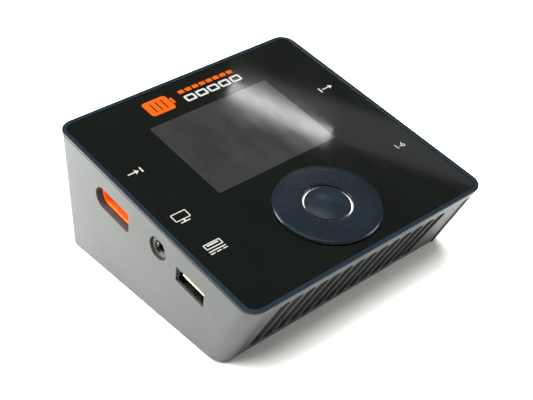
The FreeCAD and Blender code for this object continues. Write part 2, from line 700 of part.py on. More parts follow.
def chip(label, length, width, height, x, s, corner=0.3):
    """A square-cornered part that stands on the main board."""
    block = centred_box(label + "_block", length, width, height, x, s, "-main_depth + (%s)" % height)
    return node(rounded(label, block, corner, lambda e: e.Length <= value(height) + 0.01))


def capacitor(n, x, s):
    can = rod("capacitor_can_%d" % n, 4.0, 8.6, at(0, 0, 0))
    groove = doc.addObject("Part::Torus", "capacitor_groove_%d" % n)
    groove.Radius1 = 4.25
    groove.Radius2 = 0.5
    groove.Placement = at(0, 0, 1.4)
    shaped = cut("capacitor_body_%d" % n, can, [groove])
    return node(rounded("capacitor_%d" % n, shaped, 0.5, lambda e: e.BoundBox.ZMin > 8.5,
                        at(x, s, "-main_depth", frame=SLOPE)))


def board_parts():
    for n, (x, s) in enumerate([(-22, 57), (-22, 67), (22, 57), (22, 67)], 1):
        capacitor(n, x, s)
    chip("power_inductor_1", 15, 15, 8.4, -8, 62, 1.5)
    chip("power_inductor_2", 15, 15, 8.4, 8.5, 62, 1.5)
    chip("shunt_resistor", 11, 4.5, 1.6, 0, 78)
    chip("processor", 10, 10, 1.4, 0, 42)
    chip("input_fuse", 7, 19, 8.0, -32.5, 52, 0.6)
    buzzer = rod("buzzer_can", 4.5, 5, at(0, 0, 0))
    port = rod("buzzer_port", 1, 2, at(0, 0, 4))
    node(cut("buzzer", buzzer, [port], at(-14, 34, "-main_depth", frame=SLOPE)))
    for n, (x, s) in enumerate([(-20, 40), (20, 40), (-20, 70), (20, 70)], 1):
        block = centred_box("transistor_block_%d" % n, 10, 9, 2.3, x, s, "-main_depth - board_thick")
        node(rounded("power_transistor_%d" % n, block, 0.3, lambda e: e.Length < 2.4))


def heatsink():
    top = "-main_depth - board_thick - 2.3 - 0.5"
    sheet_box = centred_box("thermal_sheet", 56, "sink_back - sink_front - 10", 0.5, 0,
                            "(sink_back + sink_front) / 2", top + " + 0.5")
    node(rounded("thermal_pad", sheet_box, 1.0, lambda e: e.Length < 0.6))
    body = new_body("heatsink", at(0, "sink_front", top, frame=SLOPE))
    half = "fin_count * fin_pitch / 2 - fin_pitch / 2"
    sketch = new_sketch(body, "sink_base_outline", "XZ_Plane")
    rectangle(sketch, "-(%s) - fin_thick / 2" % half, "%s + fin_thick / 2" % half, "-sink_base", 0)
    pad(body, sketch, "sink_base_pad", "sink_back - sink_front", reverse=True)
    fin = new_sketch(body, "sink_fin_outline", "XZ_Plane")
    rectangle(fin, "-(%s) - fin_thick / 2" % half, "-(%s) + fin_thick / 2" % half, "-sink_base - fin_depth",
              "-sink_base / 2")
    blade = pad(body, fin, "sink_fin", "sink_back - sink_front", reverse=True)
    row = body.newObject("PartDesign::LinearPattern", "sink_fins")
    row.Originals = [blade]
    row.Direction = (origin_feature(body, "X_Axis"), [""])
    bind(row, Length="(fin_count - 1) * fin_pitch")
    row.Occurrences = int(value("fin_count"))
    body.Tip = row
    node(body)


def ribbon():
    """A flat cable that loops from the control board down to the main board."""
    body = new_body("ribbon_cable", SLOPE)
    sketch = new_sketch(body, "ribbon_side", "YZ_Plane", offset=22)
    high = value("-control_depth - board_thick")
    low = value("-main_depth")
    middle = (high + low) / 2
    rise = (high - low) / 2
    thick = 0.3
    near, tail = 33, 30

    def arc(radius):
        ring = Part.Circle(Vector(near, middle, 0), Z_AXIS, radius)
        return sketch.addGeometry(Part.ArcOfCircle(ring, -math.pi / 2, math.pi / 2))

    outer = arc(rise)
    inner = arc(rise - thick)
    corners = [(near, high), (tail, high), (tail, high - thick), (near, high - thick)]
    ends = [(near, low), (tail, low), (tail, low + thick), (near, low + thick)]
    for points in (corners, ends):
        spots = [Vector(x, y, 0) for x, y in points]
        lines = [sketch.addGeometry(Part.LineSegment(a, b)) for a, b in zip(spots, spots[1:])]
        for one, two in zip(lines, lines[1:]):
            sketch.addConstraint(Sketcher.Constraint("Coincident", one, 2, two, 1))
    sketch.addConstraint(Sketcher.Constraint("Coincident", outer, 2, 2, 1))
    sketch.addConstraint(Sketcher.Constraint("Coincident", inner, 2, 4, 2))
    sketch.addConstraint(Sketcher.Constraint("Coincident", outer, 1, 5, 1))
    sketch.addConstraint(Sketcher.Constraint("Coincident", inner, 1, 7, 2))
    pad(body, sketch, "ribbon_width", 10)
    node(body)


# ---------------------------------------------------------------- ports

def power_port(name, side):
    """The orange housing of a two-pole power connector, on the left (-1) or the right (1)."""
    face = "width / 2 - power_inset"
    if side < 0:
        start = "-(%s)" % face
        hollow_start = start + " - 1"
        hole_radius = "pin_radius"
    else:
        start = face + " - power_reach"
        hollow_start = face + " - power_cavity"
        hole_radius = "pin_radius + 0.7"
    place = ("power_s", "-power_depth")
    shell = d_block(name + "_block", "power_half - 0.35", "power_rise - 0.3", start, "power_reach", *place)
    hollow = d_block(name + "_cavity", "power_half - 1.5", "power_rise - 1.45", hollow_start,
                     "power_cavity + 1", *place)
    holes = [rod("%s_hole_%d" % (name, k > 0), hole_radius, "power_reach + 2",
                 at(start + " - 1", "power_s + %d * pin_spacing / 2" % k, "-power_depth", ALONG_X, SLOPE))
             for k in (-1, 1)]
    node(cut(name, shell, [hollow] + holes))


def power_pins():
    """Bullet pins of the inlet on the left and split tubes of the outlet on the right."""
    rounding = 0.8
    tip_gap = 1.5
    long = value("pin_long")
    for k, name in ((-1, "positive"), (1, "negative")):
        s = "power_s + %d * pin_spacing / 2" % k
        left = at("-width / 2 + power_inset + pin_long + %g" % tip_gap, s, "-power_depth", AGAINST_X, SLOPE)
        right = at("width / 2 - power_inset - pin_long - %g" % tip_gap, s, "-power_depth", ALONG_X, SLOPE)
        bullet = rod("input_pin_blank_" + name, "pin_radius", "pin_long", at(0, 0, 0))
        node(rounded("input_pin_" + name, bullet, rounding, lambda e: e.BoundBox.ZMin > long - 0.01, left))
        tube = rod("output_tube_" + name, "pin_radius + 0.7", "pin_long", at(0, 0, 0))
        bore = rod("output_bore_" + name, "pin_radius + 0.03", "contact_bore",
                   at(0, 0, "pin_long - contact_bore"))
        node(cut("output_contact_" + name, tube, [bore], right))


def port_box(label, length, wide, high, x, s, rise):
    """A box in the USB socket from x inwards, centred on s, its underside `rise` above the axis."""
    return box(label, length, wide, high,
               at(x, "%s - (%s) / 2" % (s, wide), "-usb_depth + (%s)" % rise, frame=SLOPE))


def usb_port():
    """A folded shell round a tongue whose four blades lie on its top and turn down over its end."""
    face = "(-width / 2 + usb_inset)"
    end = face + " + 1"
    top = "tongue_thick / 2 + 0.3"
    mouth_wide = "shell_wide - 2 * shell_wall"
    mouth_high = "shell_high - 2 * shell_wall"
    outer = port_box("usb_tube", "shell_long", "shell_wide", "shell_high", face, "usb_s", "-shell_high / 2")
    inner = port_box("usb_mouth", "shell_long - 1", mouth_wide, mouth_high, face + " - 1", "usb_s",
                     "-(%s) / 2" % mouth_high)
    node(cut("usb_shell", outer, [inner]))
    bar = port_box("usb_tongue_bar", "tongue_long", "tongue_wide", "tongue_thick", end, "usb_s",
                   top + " - tongue_thick")
    root = port_box("usb_tongue_root", 1.4, mouth_wide, mouth_high, end + " + tongue_long - 0.9", "usb_s",
                    "-(%s) / 2" % mouth_high)
    node(fuse("usb_tongue", [bar, root]))
    blades = []
    for n, offset in enumerate((-3.5, -1.2, 1.2, 3.5)):
        s = "usb_s + %g" % offset
        flat = port_box("usb_blade_top_%d" % n, "blade_long", "blade_wide", 0.2, end + " - 0.2", s, top)
        tip = port_box("usb_blade_tip_%d" % n, 0.2, "blade_wide", "tongue_thick * 0.7", end + " - 0.2", s,
                       top + " - tongue_thick * 0.7")
        blades.append(fuse("usb_blade_%d" % n, [flat, tip]))
    node(group("usb_contacts", blades))


def link_jack():
    """A round-nosed jack with a coned mouth and one spring contact beside its bore."""
    face = "(-width / 2 + jack_inset)"
    axis = ("jack_s", "-jack_port_depth", ALONG_X, SLOPE)
    nose = rod("jack_nose", "jack_radius", "wall - jack_inset + 0.3", at(face, *axis))
    block = box("jack_block", 13, 9, 7.2, at("-width / 2 + wall + 0.1", "jack_s - 4.5",
                                            "-jack_port_depth - 3.6", frame=SLOPE))
    bore = rod("jack_bore_hole", "jack_bore", 13, at(face + " - 0.1", *axis))
    mouth = cone("jack_mouth", "jack_mouth_radius", "jack_bore", 0.9, at(face, *axis))
    slot = box("jack_slot", 6, 0.8, 1.4, at("-width / 2 + 5", "jack_s + 1.5", "-jack_port_depth - 0.7",
                                           frame=SLOPE))
    node(cut("link_jack", fuse("jack_body", [nose, block]), [bore, mouth, slot]))
    node(box("jack_contact", 5.6, 0.3, 1.2, at("-width / 2 + 5.2", "jack_s + 1.85",
                                              "-jack_port_depth - 0.6", frame=SLOPE)))


def balance_port():
    """A white socket with one row of seven square pins."""
    face = "(width / 2 - wall - 0.4)"
    wide, high, reach, floor = 20.2, 5.75, 7.5, 1.5
    side_wall, top_wall = 0.9, 0.85
    pin, pin_pitch, pin_long = 0.64, 2.5, 9.0
    offsets = [pin_pitch * (n - 3) for n in range(7)]

    def block(label, length, broad, tall, x, offset=0):
        return box(label, length, broad, tall,
                   at("%s + %g" % (face, x), "balance_s + %g" % (offset - broad / 2),
                      "-balance_depth - %g" % (tall / 2), frame=SLOPE))
    shell = block("balance_block", reach, wide, high, -reach)
    hollow = block("balance_well", reach, wide - 2 * side_wall, high - 2 * top_wall, floor - reach)
    holes = [block("balance_slot_%d" % n, 4, pin, pin, -reach - 1, y) for n, y in enumerate(offsets)]
    node(cut("balance_socket", shell, [hollow] + holes))
    pins = [block("balance_pin_%d" % n, pin_long, pin, pin, -reach - 2.5, y) for n, y in enumerate(offsets)]
    node(group("balance_pins", pins))


# ---------------------------------------------------------------- fan, in its own frame

def fan():
    half = "fan_size / 2"
    square = box("fan_square", "fan_size", "fan_size", "fan_thick", at("-" + half, "-" + half, 0))
    square = rounded("fan_outline", square, 2.5,
                     lambda e: abs((e.Vertexes[-1].Point - e.Vertexes[0].Point).z) > 9)
    bore = rod("fan_duct", "fan_bore", "fan_thick + 2", at(0, 0, -1))
    holes = [rod("fan_corner_%d%d" % (i, k), 1.7, "fan_thick + 2",
                 at("%d * fan_screw_offset" % i, "%d * fan_screw_offset" % k, -1))
             for i in (-1, 1) for k in (-1, 1)]
    ring = cut("fan_ring", square, [bore] + holes)
    base = rod("fan_motor_base", 9, 1.4, at(0, 0, 0))
    tube = rod("fan_bearing_tube", 3.4, 7.5, at(0, 0, 0))
    struts = []
    for n in range(4):
        outwards = Placement(Vector(), Rotation(Z_AXIS, 45 + 90 * n))
        struts.append(box("fan_strut_%d" % n, 12, 2.2, 1.4, outwards.multiply(at(8, -1.1, 0))))
    seat = rod("fan_bearing_seat", 2.5, 7, at(0, 0, 1.4))
    node(cut("fan_frame", fuse("fan_frame_body", [ring, base, tube] + struts), [seat], FAN))

    sleeve = rod("fan_sleeve", 2.5, 5.5, at(0, 0, 1.8))
    node(cut("fan_bearing", sleeve, [rod("fan_sleeve_bore", 1.03, 8, at(0, 0, 0))], FAN))
    shaft = rod("fan_shaft_rod", 1.0, 6.8, at(0, 0, 1.9))
    node(rounded("fan_shaft", shaft, 0.2, lambda e: e.BoundBox.ZMax < 2, FAN))
    coil = rod("fan_coil", 7.6, 5, at(0, 0, 2.0))
    node(cut("fan_stator", coil, [rod("fan_coil_bore", 3.4, 8, at(0, 0, 1))], FAN))

    cup = rod("fan_cup", 9.4, 7.3, at(0, 0, 2.0))
    cup = rounded("fan_cup_edge", cup, 0.8, lambda e: e.BoundBox.ZMin > 9.2)
    sweep = cut("fan_sweep", rod("fan_sweep_disc", 18.5, 6.8, at(0, 0, 2.3)),
                [rod("fan_sweep_core", 9.0, 9, at(0, 0, 1))])
    blades = []
    for n in range(7):
        turn = Placement(Vector(), Rotation(Z_AXIS, 360 / 7 * n))
        tilt = Placement(Vector(0, 0, 5.7), Rotation(X_AXIS, 38))
        blades.append(box("fan_blade_%d" % n, 11, 12, 0.8, turn.multiply(tilt).multiply(at(9, -6, -0.4))))
    swept = doc.addObject("Part::Common", "fan_blades")
    swept.Base = fuse("fan_blade_set", blades)
    swept.Tool = sweep
    hollow = rod("fan_cup_hollow", 8.2, 6.2, at(0, 0, 1.9))
    seat = rod("fan_shaft_seat", 1.0, 2, at(0, 0, 6.7))
    node(cut("fan_rotor", fuse("fan_rotor_body", [cup, swept]), [hollow, seat], FAN))


# ---------------------------------------------------------------- build, test and write

def check_document():
    doc.recompute()
    for item in doc.Objects:
        if "Invalid" in item.State or "Error" in item.State:
            raise RuntimeError("%s failed: %s" % (item.Label, item.State))
    for item in nodes:
        shape = item.Shape
        if shape.isNull() or not shape.isValid() or not shape.Solids:
            raise RuntimeError(item.Label + " has no valid solid")


main_case()
base_plate()
for foot_name, foot_x, foot_y in foot_spots():
    foot(foot_name, foot_x, foot_y)
top_cover()
top_panel()
display()
dial()
button()
control_board()
main_board()
board_parts()
heatsink()
ribbon()
power_port("input_connector", -1)
power_port("output_connector", 1)
power_pins()
usb_port()
link_jack()
balance_port()
fan()
screw_groups()

check_document()
for item in nodes:
    item.Shape.exportStep("parts/%s.step" % item.Label)
print("sub-parts:", len(nodes))
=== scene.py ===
"""Looks of the balance charger: materials, smooth-edged pieces, marks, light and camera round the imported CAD.

Everything is in metres in the row frame. The slope frame used below has x across, s up the
inclined top from its front rim, and z square to it, so that a place on the top needs no tilt.
"""
import json
import math

import bmesh
import bpy
from mathutils import Matrix, Vector


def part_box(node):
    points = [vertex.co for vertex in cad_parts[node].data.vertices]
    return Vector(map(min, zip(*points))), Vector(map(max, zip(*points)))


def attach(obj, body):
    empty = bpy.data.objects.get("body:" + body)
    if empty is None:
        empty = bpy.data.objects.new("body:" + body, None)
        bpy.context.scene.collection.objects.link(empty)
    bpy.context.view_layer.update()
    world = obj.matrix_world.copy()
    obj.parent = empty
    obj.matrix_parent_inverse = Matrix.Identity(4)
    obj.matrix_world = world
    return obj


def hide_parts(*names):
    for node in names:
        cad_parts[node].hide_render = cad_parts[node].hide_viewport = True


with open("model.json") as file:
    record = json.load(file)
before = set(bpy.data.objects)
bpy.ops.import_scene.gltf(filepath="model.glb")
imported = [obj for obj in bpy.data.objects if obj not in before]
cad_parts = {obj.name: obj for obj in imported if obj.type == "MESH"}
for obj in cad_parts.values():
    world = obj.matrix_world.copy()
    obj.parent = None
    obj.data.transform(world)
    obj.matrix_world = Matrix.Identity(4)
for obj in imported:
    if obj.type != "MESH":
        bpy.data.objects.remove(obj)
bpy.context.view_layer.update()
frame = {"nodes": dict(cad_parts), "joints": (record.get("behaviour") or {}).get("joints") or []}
nodes = frame["nodes"]
joints = {joint["name"]: joint for joint in frame["joints"]}

MM = 0.001
CHARGER, DIAL, BUTTON = "charger", "dial", "button"

# ---------------------------------------------------------------- the slope frame

up_slope = Vector(joints["dial_turn"]["axis"]).normalized()
tilt = math.atan2(-up_slope.y, up_slope.z)
dial_centre = Vector(joints["dial_turn"]["pos_m"])
cover_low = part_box("top_cover")[0]
front_run = dial_centre.y - cover_low.y
rim_front = Vector((0, cover_low.y, dial_centre.z - front_run * math.tan(tilt)))
slope = Matrix.Translation(rim_front) @ Matrix.Rotation(tilt, 4, "X")
dial_s = front_run / math.cos(tilt) / MM


def on_slope(x, s, z=0.0):
    """A point of the slope frame, in millimetres, as a point of the row frame in metres."""
    return slope @ Vector((x * MM, s * MM, z * MM))


def slope_box(node):
    """Lowest and highest corner of a CAD node in the slope frame, in millimetres."""
    inverse = slope.inverted()
    points = [inverse @ v.co for v in nodes[node].data.vertices]
    low = Vector([min(p[i] for p in points) for i in range(3)]) / MM
    high = Vector([max(p[i] for p in points) for i in range(3)]) / MM
    return low, high


# ---------------------------------------------------------------- materials

def shader(name):
    """A new material and helpers to wire it: the material, its node tree, and its Principled shader."""
    material = bpy.data.materials.new(name)
    material.use_nodes = True
    tree = material.node_tree
    return material, tree, tree.nodes["Principled BSDF"]


def set_sockets(bsdf, values):
    for socket, number in values.items():
        bsdf.inputs[socket].default_value = number


def add_node(tree, kind, inputs=None, **settings):
    made = tree.nodes.new(kind)
    for name, setting in settings.items():
        setattr(made, name, setting)
    for socket, source in (inputs or {}).items():
        if isinstance(source, bpy.types.NodeSocket):
            tree.links.new(source, made.inputs[socket])
        else:
            made.inputs[socket].default_value = source
    return made


def place(tree):
    """The point's place in its object, which moves with the piece."""
    return add_node(tree, "ShaderNodeTexCoord").outputs["Object"]


def noise(tree, size, detail=3.0, roughness=0.5, stretch=(1, 1, 1)):
    """A noise value whose patches are about `size` millimetres across."""
    where = add_node(tree, "ShaderNodeMapping", {"Vector": place(tree), "Scale": stretch})
    made = add_node(tree, "ShaderNodeTexNoise", {
        "Vector": where.outputs["Vector"], "Scale": 1.0 / (size * MM), "Detail": detail,
        "Roughness": roughness})
    return made.outputs["Fac"]


def spread(tree, value, low, high, from_low=0.3, from_high=0.7):
    """The value stretched from one range to another."""
    made = add_node(tree, "ShaderNodeMapRange", {
        "Value": value, "From Min": from_low, "From Max": from_high, "To Min": low, "To Max": high})
    return made.outputs["Result"]


def blend_colour(tree, factor, first, second):
    """Colour between two, as the factor goes from 0 to 1."""
    made = add_node(tree, "ShaderNodeMix", data_type="RGBA")
    for socket, source in ((made.inputs[0], factor), (made.inputs[6], first), (made.inputs[7], second)):
        if isinstance(source, bpy.types.NodeSocket):
            tree.links.new(source, socket)
        else:
            socket.default_value = source
    return made.outputs[2]


def bump(tree, height, depth):
    return add_node(tree, "ShaderNodeBump", {"Height": height, "Distance": depth * MM}).outputs["Normal"]


def shade(colour, factor):
    return tuple(min(1.0, channel * factor) for channel in colour[:3]) + (1.0,)


def moulded(name, colour, roughness, grain=0.25, grain_depth=0.004, variation=0.12, specular=0.5):
    """Moulded plastic: a fine spark-eroded grain, cloudy tone, and slightly uneven gloss."""
    material, tree, bsdf = shader(name)
    cloud = noise(tree, 22.0, 4.0, 0.6)
    fine = noise(tree, grain, 2.0, 0.6)
    speck = noise(tree, grain * 3.0, 3.0, 0.7)
    tone = spread(tree, cloud, 0.0, 1.0)
    tinted = blend_colour(tree, tone, shade(colour, 1.0 - variation), shade(colour, 1.0 + variation))
    tree.links.new(tinted, bsdf.inputs["Base Color"])
    tree.links.new(spread(tree, speck, roughness - 0.05, roughness + 0.07), bsdf.inputs["Roughness"])
    tree.links.new(bump(tree, fine, grain_depth), bsdf.inputs["Normal"])
    set_sockets(bsdf, {"Specular IOR Level": specular})
    return material


def metal(name, colour, roughness, brushed=(1, 1, 1), grain=0.35):
    """Plated or turned metal with a fine direction to its polish."""
    material, tree, bsdf = shader(name)
    lines = noise(tree, grain, 3.0, 0.6, stretch=brushed)
    tarnish = noise(tree, 3.0, 3.0, 0.6)
    tinted = blend_colour(tree, spread(tree, tarnish, 0.0, 1.0), shade(colour, 0.82), shade(colour, 1.05))
    tree.links.new(tinted, bsdf.inputs["Base Color"])
    tree.links.new(spread(tree, lines, roughness - 0.06, roughness + 0.1), bsdf.inputs["Roughness"])
    tree.links.new(bump(tree, lines, 0.004), bsdf.inputs["Normal"])
    set_sockets(bsdf, {"Metallic": 1.0})
    return material


def gloss_sheet(name, colour, roughness, ior, haze):
    """Back-printed clear sheet: deep colour under a clear face with faint wipe marks and dust."""
    material, tree, bsdf = shader(name)
    wipe = noise(tree, 9.0, 5.0, 0.65, stretch=(1.0, 0.35, 1.0))
    dust = add_node(tree, "ShaderNodeTexVoronoi", {"Vector": place(tree), "Scale": 1.0 / (2.6 * MM)},
                    feature="F1").outputs["Distance"]
    speck = spread(tree, dust, 1.0, 0.0, 0.0, 0.045)
    tone = blend_colour(tree, spread(tree, wipe, 0.0, 1.0), shade(colour, 0.8), shade(colour, 1.25))
    dusty = blend_colour(tree, speck, tone, (haze, haze, haze, 1.0))
    tree.links.new(dusty, bsdf.inputs["Base Color"])
    tree.links.new(spread(tree, wipe, roughness, roughness + 0.05), bsdf.inputs["Roughness"])
    set_sockets(bsdf, {"IOR": ior})
    return material


def ink(name, colour):
    """Screen-printed ink: even colour with the print's tiny pinholes and edges."""
    material, tree, bsdf = shader(name)
    holes = noise(tree, 0.12, 2.0, 0.5)
    tinted = blend_colour(tree, spread(tree, holes, 0.0, 1.0), shade(colour, 0.86), colour)
    tree.links.new(tinted, bsdf.inputs["Base Color"])
    tree.links.new(spread(tree, holes, 0.35, 0.5), bsdf.inputs["Roughness"])
    tree.links.new(bump(tree, holes, 0.002), bsdf.inputs["Normal"])
    set_sockets(bsdf, {"Specular IOR Level": 0.15})
    return material


def board(name):
    """Green solder mask over copper tracks that show as a faint relief."""
    material, tree, bsdf = shader(name)
    tracks = add_node(tree, "ShaderNodeTexBrick", {
        "Vector": place(tree), "Scale": 1.0 / (9.0 * MM), "Mortar Size": 0.03, "Color1": (0, 0, 0, 1),
        "Color2": (0.2, 0.2, 0.2, 1), "Mortar": (1, 1, 1, 1)}).outputs["Color"]
    tinted = blend_colour(tree, tracks, (0.012, 0.09, 0.045, 1), (0.03, 0.16, 0.08, 1))
    tree.links.new(tinted, bsdf.inputs["Base Color"])
    tree.links.new(bump(tree, tracks, 0.03), bsdf.inputs["Normal"])
    tree.links.new(spread(tree, noise(tree, 4.0), 0.25, 0.4), bsdf.inputs["Roughness"])
    return material


def unlit_display(name):
    """A display that is off: dark grey with its column pattern just visible."""
    material, tree, bsdf = shader(name)
    columns = add_node(tree, "ShaderNodeTexWave", {
        "Vector": place(tree), "Scale": 1.0 / (1.2 * MM), "Distortion": 0.0}).outputs["Fac"]
    tinted = blend_colour(tree, columns, (0.030, 0.032, 0.031, 1), (0.034, 0.037, 0.036, 1))
    tree.links.new(tinted, bsdf.inputs["Base Color"])
    tree.links.new(spread(tree, noise(tree, 6.0), 0.1, 0.16), bsdf.inputs["Roughness"])
    return material


# The light below is bright enough to whiten the floor, so these colours are darker than the real ones.
MATERIALS = {
    "case_plastic": moulded("case_plastic", (0.034, 0.038, 0.037), 0.42, variation=0.10, specular=0.24),
    "base_plastic": moulded("base_plastic", (0.045, 0.046, 0.048), 0.5),
    "rubber_feet": moulded("rubber_feet", (0.018, 0.018, 0.018), 0.75, grain=0.5, grain_depth=0.02),
    "cover_plastic": moulded("cover_plastic", (0.0040, 0.0088, 0.0135), 0.34, grain=0.2, grain_depth=0.0015,
                             specular=0.26),
    "panel_gloss": gloss_sheet("panel_gloss", (0.0016, 0.0022, 0.0016), 0.035, 1.46, 0.008),
    # steel is far darker than the bright light alone calls for: painted shade, so the shaded inside of the USB
    # socket reads dark
    "steel": metal("steel", (0.060, 0.058, 0.052), 0.34),
    "lcd_glass": unlit_display("lcd_glass"),
    "backlight_film": moulded("backlight_film", (0.7, 0.7, 0.68), 0.5, grain=0.6),
    "circuit_board": board("circuit_board"),
    "dial_plastic": moulded("dial_plastic", (0.0028, 0.0052, 0.0078), 0.24, grain=0.35, grain_depth=0.0006,
                            variation=0.35, specular=0.30),
    "button_plastic": moulded("button_plastic", (0.0036, 0.0068, 0.0105), 0.22, grain=0.35,
                              grain_depth=0.0006,
                              variation=0.3, specular=0.35),
    "black_plastic": moulded("black_plastic", (0.003, 0.003, 0.0033), 0.42, specular=0.2),
    "nylon_white": moulded("nylon_white", (0.72, 0.71, 0.66), 0.42, grain=0.3),
    "connector_orange": moulded("connector_orange", (0.80, 0.10, 0.004), 0.36, grain=0.3, variation=0.08,
                                specular=0.3),
    "gold_contact": metal("gold_contact", (1.0, 0.70, 0.24), 0.22),
    "nickel_plate": metal("nickel_plate", (0.045, 0.043, 0.038), 0.26, brushed=(0.2, 1, 1), grain=1.2),
    "fuse_amber": moulded("fuse_amber", (0.75, 0.42, 0.06), 0.3, grain=0.4),
    "shunt_ceramic": moulded("shunt_ceramic", (0.60, 0.62, 0.58), 0.6, grain=0.3),
    "aluminium_fin": metal("aluminium_fin", (0.78, 0.78, 0.79), 0.38, brushed=(1, 0.1, 1)),
    "silicone_pad": moulded("silicone_pad", (0.30, 0.42, 0.60), 0.8, grain=0.8),
    "capacitor_sleeve": moulded("capacitor_sleeve", (0.04, 0.05, 0.10), 0.35),
    "ribbon_film": moulded("ribbon_film", (0.75, 0.34, 0.06), 0.3, grain=0.6),
    "bronze": metal("bronze", (0.55, 0.36, 0.20), 0.35),
    "copper_coil": metal("copper_coil", (0.72, 0.33, 0.16), 0.3, brushed=(1, 0.08, 1)),
}
INK_WHITE = ink("ink_white", (0.24, 0.245, 0.24, 1))
INK_ORANGE = ink("ink_orange", (0.30, 0.044, 0.001, 1))
WINDOW = gloss_sheet("window_pane", (0.0115, 0.0122, 0.0117), 0.05, 1.7, 0.03)

slot_of = {name: node.material_slots[0].material.name for name, node in nodes.items()}
for name, node in nodes.items():
    node.material_slots[0].material = MATERIALS[slot_of[name]]


# ---------------------------------------------------------------- piece makers

def new_piece(name, mesh, material, body=CHARGER, stands_for=None):
    """An object with the mesh, riding on its body."""
    piece = bpy.data.objects.new(name, mesh)
    bpy.context.scene.collection.objects.link(piece)
    mesh.materials.clear()
    mesh.materials.append(material)
    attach(piece, body)
    if stands_for:
        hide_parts(stands_for)
    return piece


def smooth(mesh, angle=30):
    """Smooth shading that keeps edges sharper than the angle."""
    mesh.shade_smooth()
    mesh.set_sharp_from_angle(angle=math.radians(angle))


# edges flatter than this many degrees aren't rounded
ROUNDED_ABOVE_ANGLE = 38


def clean_mesh(mesh):
    """Joins doubled points and merges the triangles of each flat face."""
    made = bmesh.new()
    made.from_mesh(mesh)
    bmesh.ops.remove_doubles(made, verts=made.verts, dist=1e-6)
    bmesh.ops.dissolve_limit(made, angle_limit=math.radians(0.6), verts=made.verts, edges=made.edges)
    result = bpy.data.meshes.new(mesh.name + "_clean")
    made.to_mesh(result)
    made.free()
    return result


def softened(node, width):
    """A copy of a fixed CAD part whose edges are rounded by `width` millimetres, standing for it."""
    slot = slot_of[node]
    piece = new_piece(node + "_soft", clean_mesh(nodes[node].data), MATERIALS[slot], CHARGER, node)
    rounding = piece.modifiers.new("rounding", "BEVEL")
    rounding.limit_method = "ANGLE"
    rounding.angle_limit = math.radians(ROUNDED_ABOVE_ANGLE)
    rounding.width = width * MM
    rounding.segments = 2
    rounding.use_clamp_overlap = False
    rounding.harden_normals = True
    smooth(piece.data)
    return piece


def lathe(name, profile, material, body, place_of, stands_for, turns=192):
    """A closed ring or disc turned from (radius, height) points in millimetres."""
    made = bmesh.new()
    rings = []
    for radius, height in profile:
        if radius == 0:
            rings.append([made.verts.new(place_of @ Vector((0, 0, height * MM)))])
            continue
        steps = [2 * math.pi * k / turns for k in range(turns)]
        rings.append([made.verts.new(place_of @ Vector((radius * math.cos(a) * MM, radius * math.sin(a) * MM,
                                                         height * MM))) for a in steps])
    pairs = list(zip(rings, rings[1:]))
    if profile[0][0] and profile[-1][0]:
        pairs.append((rings[-1], rings[0]))
    for first, second in pairs:
        for k in range(turns):
            ring = [first[k % len(first)], first[(k + 1) % len(first)],
                    second[(k + 1) % len(second)], second[k % len(second)]]
            corners = [v for i, v in enumerate(ring) if v not in ring[:i]]
            made.faces.new(corners)
    bmesh.ops.recalc_face_normals(made, faces=made.faces)
    mesh = bpy.data.meshes.new(name)
    made.to_mesh(mesh)
    made.free()
    piece = new_piece(name, mesh, material, body, stands_for)
    smooth(mesh, 50)
    return piece


def arc(centre, radius, start, end, steps):
    """Points on an arc, the angles in degrees."""
    angles = [math.radians(start + (end - start) * k / steps) for k in range(steps + 1)]
    return [(centre[0] + radius * math.cos(a), centre[1] + radius * math.sin(a)) for a in angles]


def round_rect(wide, long, radius, centre=(0, 0), steps=10):
    """Outline of a rectangle with round corners, anticlockwise."""
    x, y = wide / 2 - radius, long / 2 - radius
    points = []
    for quarter, (cx, cy) in enumerate(((x, y), (-x, y), (-x, -y), (x, -y))):
        points += arc((centre[0] + cx, centre[1] + cy), radius, 90 * quarter, 90 * quarter + 90, steps)
    return points


def sheet_mesh(name, outlines, low, high, rounding=0.0):
    """A flat sheet on the slope between two heights. An outline inside another is a hole."""
    curve = bpy.data.curves.new(name, "CURVE")
    curve.dimensions = "2D"
    curve.fill_mode = "BOTH"
    curve.extrude = ((high - low) / 2 - rounding) * MM
    curve.bevel_depth = rounding * MM
    curve.bevel_resolution = 2
    curve.offset = -rounding * MM
    for points in outlines:
        spline = curve.splines.new("POLY")
        spline.points.add(len(points) - 1)
        for point, (x, s) in zip(spline.points, points):
            point.co = (x * MM, s * MM, 0, 1)
        spline.use_cyclic_u = True
    return flattened(name, curve, Vector((0, 0, (low + high) / 2 * MM)))


def flattened(name, curve, shift):
    """The mesh of a curve or text laid on the slope, joined into closed surfaces."""
    holder = bpy.data.objects.new(name, curve)
    bpy.context.scene.collection.objects.link(holder)
    bpy.context.view_layer.update()
    mesh = bpy.data.meshes.new_from_object(holder.evaluated_get(bpy.context.evaluated_depsgraph_get()))
    bpy.data.objects.remove(holder)
    made = bmesh.new()
    made.from_mesh(mesh)
    bmesh.ops.remove_doubles(made, verts=made.verts, dist=1e-7)
    bmesh.ops.recalc_face_normals(made, faces=made.faces)
    made.to_mesh(mesh)
    made.free()
    mesh.transform(slope @ Matrix.Translation(shift))
    return mesh


def flat_piece(name, outlines, low, high, material, rounding=0.0, stands_for=None):
    mesh = sheet_mesh(name, outlines, low, high, rounding)
    piece = new_piece(name, mesh, material, CHARGER, stands_for)
    smooth(mesh, 9)
    return piece


# ---------------------------------------------------------------- case and cover

EDGE_WIDTHS = {
    "main_case": 0.22, "top_cover": 0.16, "base_plate": 0.3, "input_connector": 0.18,
    "output_connector": 0.18, "link_jack": 0.15, "usb_shell": 0.08, "usb_tongue": 0.08,
    "balance_socket": 0.15, "fan_frame": 0.3,
}
for part, edge_width in EDGE_WIDTHS.items():
    softened(part, edge_width)


# ---------------------------------------------------------------- jack mouth

